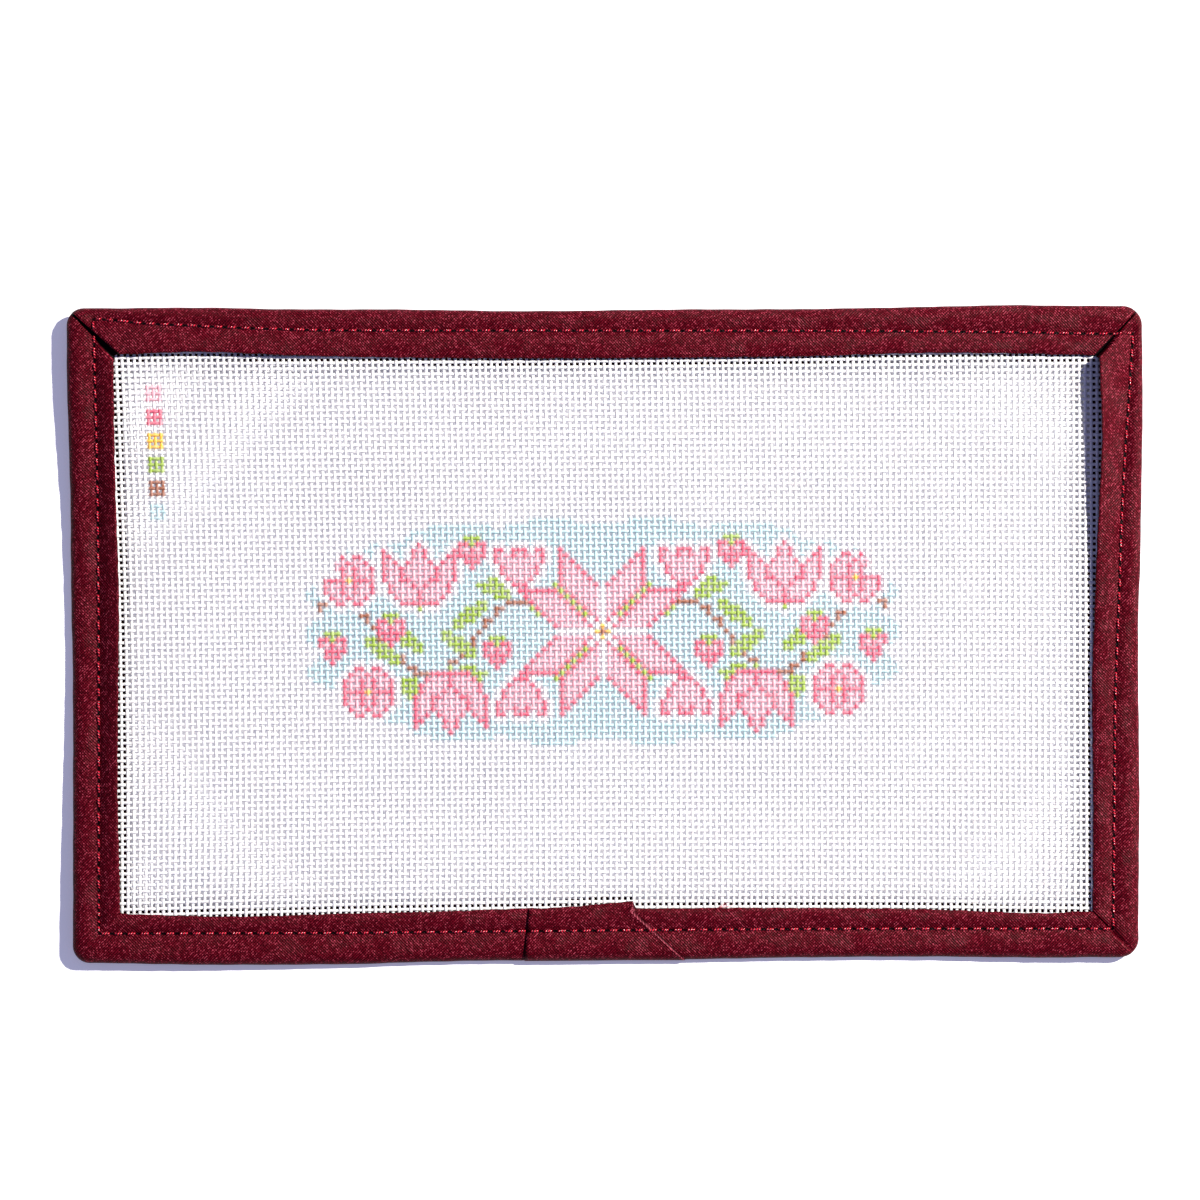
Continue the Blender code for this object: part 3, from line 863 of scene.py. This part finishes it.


# A mitre's middle is the last ring of one run and the first of the next, whose cloth lies the other way. Each
# ring also gets its painted shade and painted highlight: how dark it is painted, as shade in a mitre's gap,
# inside the fold and in the valley by the join, and how much of the join ridge's painted highlight it has.
runs = tape_runs()
rings, faces, cloth_before, cloth_after, painted_shade_and_highlight = [], [], [], [], []
for number, run in enumerate(runs):
    for station in stations(run):
        ring, face = tape_ring(run, station)
        rings.append(ring)
        faces.append(face)
        shared = station.way == 1 and station.outer == run.end.outer
        cloth_before.append(cloth_places(run, ring))
        cloth_after.append(cloth_places(runs[number + 1] if shared else run, ring))
        past, dark, ridge = station.outer - JOIN_OUTER, 0.0, 0.0
        if station.corner:
            dark = station.sunk * float(smooth((station.corner.depth - PAINTED_SHADE_DEPTH) / PAINTED_SHADE_FADE))
        if run.rows is BOTTOM_ROWS:
            dark = JOIN_PAINTED_SHADOW * math.exp(past / JOIN_PAINTED_SHADOW_REACH)
        elif run.rows is FINISH_ROWS:
            ridge = float(np.interp(past, *RIDGE_HIGHLIGHT_SHAPE))
        painted_shade_and_highlight.append(np.column_stack([np.where(face == 0, FOLD_PAINTED_SHADE, dark), np.full(len(ring), ridge)]))

ring_size, ring_count = len(rings[0]), len(rings)
tape_points, tape_faces = np.concatenate(rings), np.concatenate(faces)
cloth_before, cloth_after, painted_shade_and_highlight = (np.concatenate(part) for part in (cloth_before, cloth_after, painted_shade_and_highlight))
nearness = [sewing_near(tape_points[start : start + 4000, :2]) for start in range(0, len(tape_points), 4000)]
from_sewing, stitch_share, stitch_length = np.concatenate(nearness, axis=1)
from_hole = np.hypot(from_sewing, np.minimum(stitch_share, 1 - stitch_share) * stitch_length)

# The sewing draws the cloth down into a soft valley with a groove in it, deepest at each hole, and puckers
# it in slanting folds 4 to 7 mm apart that come and go along the tape
SEAM_DRAW, SEAM_DRAW_REACH = 0.4, 1.8
SEAM_GROOVE, SEAM_GROOVE_REACH = 0.14, 0.5
HOLE_DIMPLE, HOLE_DIMPLE_REACH = 0.25, 0.5
PUCKER = 0.045
valley = SEAM_DRAW * np.exp(-((from_sewing / SEAM_DRAW_REACH) ** 2))
groove = SEAM_GROOVE * np.exp(-((from_sewing / SEAM_GROOVE_REACH) ** 2))
dimple = HOLE_DIMPLE * np.exp(-((from_hole / HOLE_DIMPLE_REACH) ** 2))
along, across = cloth_before.T
drag = np.sin(2 * np.pi * (along + 0.9 * across) / 6.7) * np.sin(2 * np.pi * along / 23 + 1)
drag += 0.6 * np.sin(2 * np.pi * (along - 0.7 * across) / 4.3 + 2) * np.sin(2 * np.pi * along / 37)
on_top, beneath = tape_faces == 1, (tape_faces == -1) & (tape_points[:, 2] < 0.6)
tape_points[on_top, 2] += (PUCKER * drag - (valley + groove + dimple) * (1 - painted_shade_and_highlight[:, 0]))[on_top]
tape_points[beneath, 2] += (groove + dimple)[beneath]

index = np.arange(len(tape_points)).reshape(-1, ring_size)
turned = np.roll(index, -1, axis=1)
tape_quads = np.stack([index[:-1], index[1:], turned[1:], turned[:-1]], axis=-1).reshape(-1, 4)
caps = [index[0].tolist(), index[-1, ::-1].tolist()]
binding = new_piece("binding_tape", tape_points, tape_quads.tolist() + caps)


def tape_maps(mesh):
    """The cloth's own map, in metres along and across the tape, and one with no overlaps for baking."""
    corners = face_corners(mesh)
    station, side = corners // ring_size, corners % ring_size
    total = len(tape_quads) * 4
    first_station = station.copy()
    first_station[:total] = np.repeat(station[:total].reshape(-1, 4).min(axis=1), 4)
    closing = np.zeros(len(corners), dtype=bool)
    closing[:total] = np.repeat(side[:total].reshape(-1, 4).max(axis=1) == ring_size - 1, 4)
    closing &= side == 0
    places = np.where((station == first_station)[:, None], cloth_after[corners], cloth_before[corners])
    places[closing, 1] = cloth_before[index[station[closing], -1], 1] + 0.3
    add_map(mesh, "cloth", places * MM)
    # Ten rows of stations, each ring unrolled upwards
    rows = 10
    per_row = math.ceil((ring_count - 1) / rows)
    row = first_station // per_row
    lengths = cloth_before[:, 1].reshape(-1, ring_size)
    unrolled = lengths - lengths[:, :1] + 0.05 * np.arange(ring_size)
    up = unrolled[station, side]
    up[closing] = unrolled[station[closing], -1] + 0.3
    share = (up / (unrolled.max() + 0.6) * 0.96 + 0.01 + row) / rows
    baked = np.stack([(station - row * per_row) / per_row * 0.98 + 0.005, share], axis=1)
    cap = tape_points[corners[total:]]
    baked[total:, 0] = 0.99 + 0.009 * (cap[:, 1] - cap[:, 1].min()) / np.ptp(cap[:, 1])
    baked[total:, 1] = (corners[total:] > ring_size) * 0.05 + 0.01 * cap[:, 2]
    add_map(mesh, "OFBake", baked)


tape_maps(binding.data)
turn = 2 * np.pi * stitch_share
stitching = np.stack([np.sin(turn), np.cos(turn), from_sewing], axis=1)
for name, values in (("stitching", stitching), ("painted_shade_and_highlight", np.pad(painted_shade_and_highlight, ((0, 0), (0, 1))))):
    layer = binding.data.attributes.new(name, "FLOAT_VECTOR", "POINT")
    layer.data.foreach_set("vector", values.astype(np.float32).ravel())

# Plain-woven cotton cut on the bias: its two sets of yarns cross the tape at 45 degrees and show as fine
# slanting ribs, now one set and now the other the stronger. Their colour is painted shade in the ribs'
# hollows and painted highlight on their crowns, over a random tone from yarn to yarn, with specks of painted
# glint where a yarn's crown catches the light. The yarns are really 0.36 mm apart, which the picture can't
# show, so they are drawn 0.5 mm apart.
TAPE_DARK, TAPE_RED, TAPE_LIT, TAPE_GLINT = "#1e0004", "#48020d", "#6e0a1f", "#a63e50"
# Near-black painted shade for gaps, folds and holes, and the pinkish painted highlight of the join's ridge
TAPE_PAINTED_SHADE, TAPE_RIDGE_HIGHLIGHT = "#080002", "#ac5464"
TAPE_YARN, TAPE_GRAIN, YARN_HEIGHT = 0.5 * MM, 0.34 * MM, 0.08 * MM
YARN_WANDER, WANDER_PER_MM, PATCHES_PER_MM = 0.3 * MM, 0.8, 0.11
RIDGE_BEAD = 0.65 * MM
STITCH, HOLE_HALF_LENGTH, HOLE_HALF_WIDTH = 3.2, 0.85, 0.32


def tape_material():
    material, add, shader = new_material("bias_cut_cotton_tape")
    cloth = add("UVMap", uv_map="cloth")
    rough = add("TexNoise", Vector=cloth, Scale=WANDER_PER_MM / MM, Detail=2).outputs["Color"]
    slack = add("VectorMath", rough, YARN_WANDER, operation="SCALE")
    uneven = add("VectorMath", cloth, slack, operation="ADD")
    bias = add("VectorRotate", Vector=uneven, Angle=math.radians(45), rotation_type="Z_AXIS")
    parts = add("SeparateXYZ", bias).outputs
    patches = add("TexNoise", Vector=cloth, Scale=PATCHES_PER_MM / MM, Detail=2)
    weave = 0.0
    for axis, least in (("Y", 1.05), ("X", 0.25)):
        phase = add("Math", parts[axis], 2 * math.pi / TAPE_YARN, operation="MULTIPLY")
        ribs = add("Math", phase, operation="SINE")
        weight = add("MapRange", patches, 0.38, 0.62, least, 1.3 - least)
        weave = add("Math", ribs, weight, weave, operation="MULTIPLY_ADD")
    crossing = add("VectorMath", bias, (TAPE_GRAIN,) * 3, operation="SNAP")
    chance = add("TexWhiteNoise", crossing)
    # Painted shade in the ribs' hollows and painted highlight on their crowns, over a random tone from yarn
    # to yarn
    lively = add("Math", chance, 1.6, weave, operation="MULTIPLY_ADD")
    ramp = add("ValToRGB", add("MapRange", lively, -1.4, 2.6))
    stops = ramp.color_ramp.elements
    stops[0].position, stops[0].color = 0.15, (*linear(TAPE_DARK), 1)
    stops[1].position, stops[1].color = 1.0, (*linear(TAPE_LIT), 1)
    stops.new(0.55).color = (*linear(TAPE_RED), 1)
    # Painted glints on a few of the yarns' crowns
    bright = add("MapRange", chance, 0.72, 1.0)
    crown = add("MapRange", weave, -0.3, 0.6)
    specks = add("Math", bright, crown, operation="MULTIPLY")
    woven = add("Mix", specks, ramp, TAPE_GLINT, data_type="RGBA")

    # The needle holes, each a dark oval of painted shade round the end of a stitch, also sunk by the bump
    tone, sewn = (
        add("SeparateXYZ", add("Attribute", attribute_name=name).outputs["Vector"]).outputs
        for name in ("painted_shade_and_highlight", "stitching")
    )
    angle = add("Math", sewn["X"], sewn["Y"], operation="ARCTAN2")
    along = add("Math", angle, STITCH / (2 * math.pi * HOLE_HALF_LENGTH), operation="MULTIPLY")
    aside = add("Math", sewn["Z"], HOLE_HALF_WIDTH, operation="DIVIDE")
    squares = [add("Math", part, part, operation="MULTIPLY") for part in (along, aside)]
    pierced = add("MapRange", add("Math", *squares, operation="ADD"), 1.5, 0.6)

    # The join's ridge, painted with a pinkish highlight which is beaded by its sewing
    across = add("SeparateXYZ", cloth).outputs["Y"]
    phase = add("Math", across, 2 * math.pi / RIDGE_BEAD, operation="MULTIPLY")
    beads = add("Math", phase, operation="SINE")
    beads = add("Math", beads, 0.7, 0.3, operation="MULTIPLY_ADD")
    ridge_highlight = add("Math", tone["Y"], beads, operation="MULTIPLY")
    colour = add("Mix", ridge_highlight, woven, TAPE_RIDGE_HIGHLIGHT, data_type="RGBA")
    # Near-black painted shade in the fold, in the mitres' gaps, in the valley by the join and in the needle
    # holes
    dark = add("Math", tone["X"], pierced, operation="MAXIMUM")
    colour = add("Mix", dark, colour, TAPE_PAINTED_SHADE, data_type="RGBA")
    relief = add("Math", chance, 0.8, weave, operation="MULTIPLY_ADD")
    relief = add("Math", pierced, -4.0, relief, operation="MULTIPLY_ADD")
    bump = add("Bump", Strength=0.5, Distance=YARN_HEIGHT, Height=relief)
    fill(shader, Base_Color=colour, Roughness=0.42, Normal=bump, Specular_IOR_Level=0.05)
    return material


binding.data.materials.append(tape_material())
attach(binding, "root")
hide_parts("binding")

# --------------------------------------------------------------------
# Sewing. One line of machine stitching in red polyester thread goes all round, through tape, canvas and
# tape. Each stitch rises from one needle hole and dives into the next, on the face and on the underside.
SEWING_HALF_THICKNESS, SEWING_SIDES_ROUND = 0.28, 6
END_STEPS, LONG_STITCH = (0.42, 0.55, 0.75, 1.1), 2.8
SEWING_RISE = np.array([-0.5, -0.3, -0.04, 0.2, 0.34, 0.32, 0.16, -0.14, -0.5])
UNDER_SHARE = -0.5
SEWING_SLANT = 0.14
LEVEL_SHARES = (0.06, 0.3, 0.5, 0.7, 0.94)

tape_surface = BVHTree.FromPolygons([tuple(point) for point in tape_points], tape_quads.tolist())


def cloth_face(x, y, above):
    """The height of the tape's face or underside over a place."""
    side = 1 if above else -1
    found = tape_surface.ray_cast(Vector((x, y, 20 * side)), Vector((0, 0, -side)))[0]
    return found.z if found else CROWN * above


stitches, thread_along = [], []
for above in (True, False):
    for first, last, length in zip(holes, next_holes, stitch_lengths):
        steps = np.array(END_STEPS) * min(1, length / LONG_STITCH)
        reach = np.array([*steps, length / 2, *(length - steps[::-1])])
        way = (last - first) / length
        left = np.array([-way[1], way[0]])
        plan = first + reach[:, None] * way + (SEWING_SLANT * (2 * reach / length - 1))[:, None] * left
        level = [cloth_face(*(first + share * (last - first)), above) for share in LEVEL_SHARES]
        height = np.interp(reach / length, LEVEL_SHARES, level) + SEWING_RISE * (1 if above else UNDER_SHARE)
        if not above:
            height = np.maximum(height, SEWING_HALF_THICKNESS + 0.01)
        size = np.full(len(reach), SEWING_HALF_THICKNESS)
        stitches.append(tube(np.column_stack([plan, height]), (*left, 0), size, size, SEWING_SIDES_ROUND))
        thread_along.append(np.repeat(reach, SEWING_SIDES_ROUND))

sewing, _, sewing_quads = tube_piece("machine_sewing", stitches)


def sewing_map(mesh):
    """Lays each stitch out in its own cell of a square grid, along it and around it."""
    corners = face_corners(mesh)
    per_stitch = len(SEWING_RISE) * SEWING_SIDES_ROUND
    cells = math.ceil(math.sqrt(len(stitches)))
    stitch, ring = corners // per_stitch, corners % per_stitch // SEWING_SIDES_ROUND
    side = corners % SEWING_SIDES_ROUND
    total = len(sewing_quads) * 4
    around = side.astype(float)
    quad_side = side[:total].reshape(-1, 4)
    closing = (quad_side.max(axis=1) == SEWING_SIDES_ROUND - 1)[:, None] & (quad_side == 0)
    around[:total][closing.ravel()] = SEWING_SIDES_ROUND
    u = ring / (len(SEWING_RISE) - 1) * 0.8 + 0.1
    v = around / SEWING_SIDES_ROUND * 0.9 + 0.05
    angle = 2 * np.pi * side[total:] / SEWING_SIDES_ROUND
    u[total:] = np.where(ring[total:] == 0, 0.05, 0.95) + 0.03 * np.cos(angle)
    v[total:] = 0.5 + 0.03 * np.sin(angle)
    add_map(mesh, "OFBake", np.stack([(u + stitch % cells) / cells, (v + stitch // cells) / cells], axis=1))
    lengthwise = np.concatenate(thread_along)[corners]
    add_map(mesh, "thread", np.stack([lengthwise, around / SEWING_SIDES_ROUND], axis=1) * MM)


sewing_map(sewing.data)

# Three-ply sewing thread: a smooth bright gloss on each ply, with painted shade in the dark lines between,
# 0.76 mm apart, and the plies painted bright red
SEWING_RED, SEWING_PAINTED_SHADE = "#d41c36", "#240004"
PLY_GAP, SEWING_PLY_HEIGHT = 0.76 * MM, 0.12 * MM


def sewing_material():
    material, add, shader = new_material("twisted_red_sewing_thread")
    parts = add("SeparateXYZ", add("UVMap", uv_map="thread")).outputs
    slanted = add("Math", parts["Y"], PLY_GAP / MM, parts["X"], operation="MULTIPLY_ADD")
    phase = add("Math", slanted, 2 * math.pi / PLY_GAP, operation="MULTIPLY")
    plies = add("Math", phase, operation="SINE")
    # How far each place is painted bright red or dark with painted shade, by where it lies on a ply
    lit = add("MapRange", plies, -0.8, 0.5)
    colour = add("Mix", lit, SEWING_PAINTED_SHADE, SEWING_RED, data_type="RGBA")
    bump = add("Bump", Strength=0.8, Distance=SEWING_PLY_HEIGHT, Height=plies)
    fill(shader, Base_Color=colour, Roughness=0.25, Normal=bump, Specular_IOR_Level=1.0)
    return material


sewing.data.materials.append(sewing_material())
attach(sewing, "root")

# --------------------------------------------------------------------
# Frayed thread. A few fibres of the tape's raw edge have worked loose by the bottom edge and lie on the
# canvas. Each is a little shorter than the one before, and they taper, arch up and bend as they run.
FRAY_START, FRAY_LENGTH, FIBRES = (27.2, -65.6), 3.4, 4
FRAY_HEADING, HEADING_SPREAD, BEND_SPREAD = 19, 6, 0.5
FIBRE_GAP, FIBRE_SHORTER, FIBRE_ARCH = 0.15, 0.17, 0.4
FIBRE_HALF_THICKNESS, FIBRE_POINTS, FIBRE_SIDES = 0.08, 9, 5

fibres = []
for number in range(FIBRES):
    shares = np.linspace(0, 1, FIBRE_POINTS)
    heading = math.radians(dice.normal(FRAY_HEADING, HEADING_SPREAD))
    bend = dice.normal(0, BEND_SPREAD)
    reach = FRAY_LENGTH * (1 - FIBRE_SHORTER * number)
    x = FRAY_START[0] + reach * shares * math.cos(heading) - bend * shares**2 * math.sin(heading)
    y = FRAY_START[1] + FIBRE_GAP * number
    y = y + reach * shares * math.sin(heading) + bend * shares**2 * math.cos(heading)
    z = canvas_height(x, y) + 0.5 + FIBRE_ARCH * np.sin(np.pi * shares) * (1 - 0.2 * number)
    size = FIBRE_HALF_THICKNESS * (1 - 0.6 * shares)
    left = (-math.sin(heading), math.cos(heading), 0)
    fibres.append(tube(np.column_stack([x, y, z]), left, size, size, FIBRE_SIDES))
frayed, _, _ = tube_piece("frayed_fibres", fibres)

# Raw cotton, which took the dye unevenly: pale and pink along some of its length, with a faint fuzz
FIBRE_RED, FIBRE_PINK, FADING_PER_MM = "#b0354f", "#e08a98", 0.9


def fibre_material():
    material, add, shader = new_material("loose_cotton_fibres")
    place = add("TexCoord").outputs["Object"]
    faded = add("TexNoise", Vector=place, Scale=FADING_PER_MM / MM)
    colour = add("Mix", faded, FIBRE_RED, FIBRE_PINK, data_type="RGBA")
    fill(shader, Base_Color=colour, Roughness=0.7, Sheen_Weight=0.3)
    return material


frayed.data.materials.append(fibre_material())
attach(frayed, "root")

# --------------------------------------------------------------------
# Floor, light and camera. The panel lies on a plain pale board, lit by one lamp up to the right and a little
# above its top edge, with a cool soft light all round, and is seen from straight above. The board glows a
# little though it is no lamp, a painted glow which keeps the panel's shadow on it pale, but not in a band
# under the canvas's edge, where it is painted darker, a painted shade that shows dark through the mesh.
# Distances are from the panel's middle, in millimetres.
FLOOR_SIZE = 4.0
BARE_FROM_X, BARE_FROM_Y, BARE_FADE, BARE_GLOW = 122.0, 71.5, 3.0, 0.25
SHADE_TO_X, SHADE_TO_Y, SHADE_FADE, COVERED_GLOW = 119.0, 68.5, 7.5, 0.15
SHADE_MIDDLE_X, SHADE_MIDDLE_Y = -1.5, -0.5
# The board's white, its painted shade, and the colour of its painted glow
BOARD_WHITE, BOARD_PAINTED_SHADE, BOARD_GLOW = "#f6f6f6", "#5c5e78", "#e8e8ff"
half = FLOOR_SIZE / 2
floor_corners = [(-half, -half, 0), (half, -half, 0), (half, half, 0), (-half, half, 0)]
floor_mesh = bpy.data.meshes.new("floor")
floor_mesh.from_pydata(floor_corners, [], [(0, 1, 2, 3)])
floor = bpy.data.objects.new("floor", floor_mesh)
scene.collection.objects.link(floor)


def floor_material():
    """Matt white paint, with painted glow past the canvas's edge (around) and well inside it (under), painted
    shade between.
    """
    material, add, shader = new_material("white_painted_board")
    parts = add("SeparateXYZ", add("TexCoord").outputs["Object"]).outputs
    ramps = []
    for axis, middle, start, fade in (
        ("X", 0, BARE_FROM_X, BARE_FADE),
        ("Y", 0, BARE_FROM_Y, BARE_FADE),
        ("X", SHADE_MIDDLE_X, SHADE_TO_X, -SHADE_FADE),
        ("Y", SHADE_MIDDLE_Y, SHADE_TO_Y, -SHADE_FADE),
    ):
        offset = add("Math", parts[axis], middle * MM, operation="SUBTRACT")
        away = add("Math", offset, operation="ABSOLUTE")
        ramps.append(add("MapRange", away, start * MM, (start + fade) * MM))
    around = add("Math", *ramps[:2], operation="MAXIMUM")
    under = add("Math", *ramps[2:], operation="MULTIPLY")
    bare = add("Math", around, under, operation="MAXIMUM")
    # The band under the canvas's edge is painted darker, as shade
    colour = add("Mix", bare, BOARD_PAINTED_SHADE, BOARD_WHITE, data_type="RGBA")
    glows = [
        add("Math", place, strength, operation="MULTIPLY")
        for place, strength in ((around, BARE_GLOW), (under, COVERED_GLOW))
    ]
    glow = add("Math", *glows, operation="MAXIMUM")
    fill(shader, Base_Color=colour, Roughness=0.9, Specular_IOR_Level=0.1, Emission_Color=BOARD_GLOW,
         Emission_Strength=glow)
    return material


floor_mesh.materials.append(floor_material())

LAMP_AZIMUTH, LAMP_ELEVATION, LAMP_DISTANCE, LAMP_SIZE, LAMP_POWER = 31, 41, 1.6, 0.056, 54.5
lamp_data = bpy.data.lights.new("key_lamp", "AREA")
lamp_data.shape, lamp_data.size, lamp_data.energy = "DISK", LAMP_SIZE, LAMP_POWER
lamp_data.color = linear("#fffaf2")
lamp = bpy.data.objects.new("key_lamp", lamp_data)
azimuth, elevation = math.radians(LAMP_AZIMUTH), math.radians(LAMP_ELEVATION)
lamp.location = Vector((
    math.cos(elevation) * math.cos(azimuth), math.cos(elevation) * math.sin(azimuth), math.sin(elevation)
)) * LAMP_DISTANCE
lamp.rotation_euler = (-lamp.location).to_track_quat("-Z", "Y").to_euler()
scene.collection.objects.link(lamp)

world = bpy.data.worlds.new("soft_cool_room")
world.use_nodes = True
world.node_tree.nodes["Background"].inputs["Color"].default_value = (*linear("#b6baff"), 1)
world.node_tree.nodes["Background"].inputs["Strength"].default_value = 0.3
scene.world = world
scene.view_settings.view_transform = "Standard"
scene.view_settings.look = "None"
scene.view_settings.exposure = 0

PHOTO_PIXELS, PHOTO_PIXELS_PER_MM = 1200, 4.175
VIEW_CENTRE_X, VIEW_CENTRE_Y, VIEW_HEIGHT, PANEL_LEVEL = -1.3, 8.3, 750.0, 2.0
camera_data = bpy.data.cameras.new("camera")
camera = bpy.data.objects.new("camera", camera_data)
camera.location = Vector((VIEW_CENTRE_X, VIEW_CENTRE_Y, VIEW_HEIGHT)) * MM
camera_data.sensor_width = 36
camera_data.lens = 36 * (VIEW_HEIGHT - PANEL_LEVEL) * PHOTO_PIXELS_PER_MM / PHOTO_PIXELS
camera_data.clip_start = 0.01
scene.collection.objects.link(camera)
scene.camera = camera
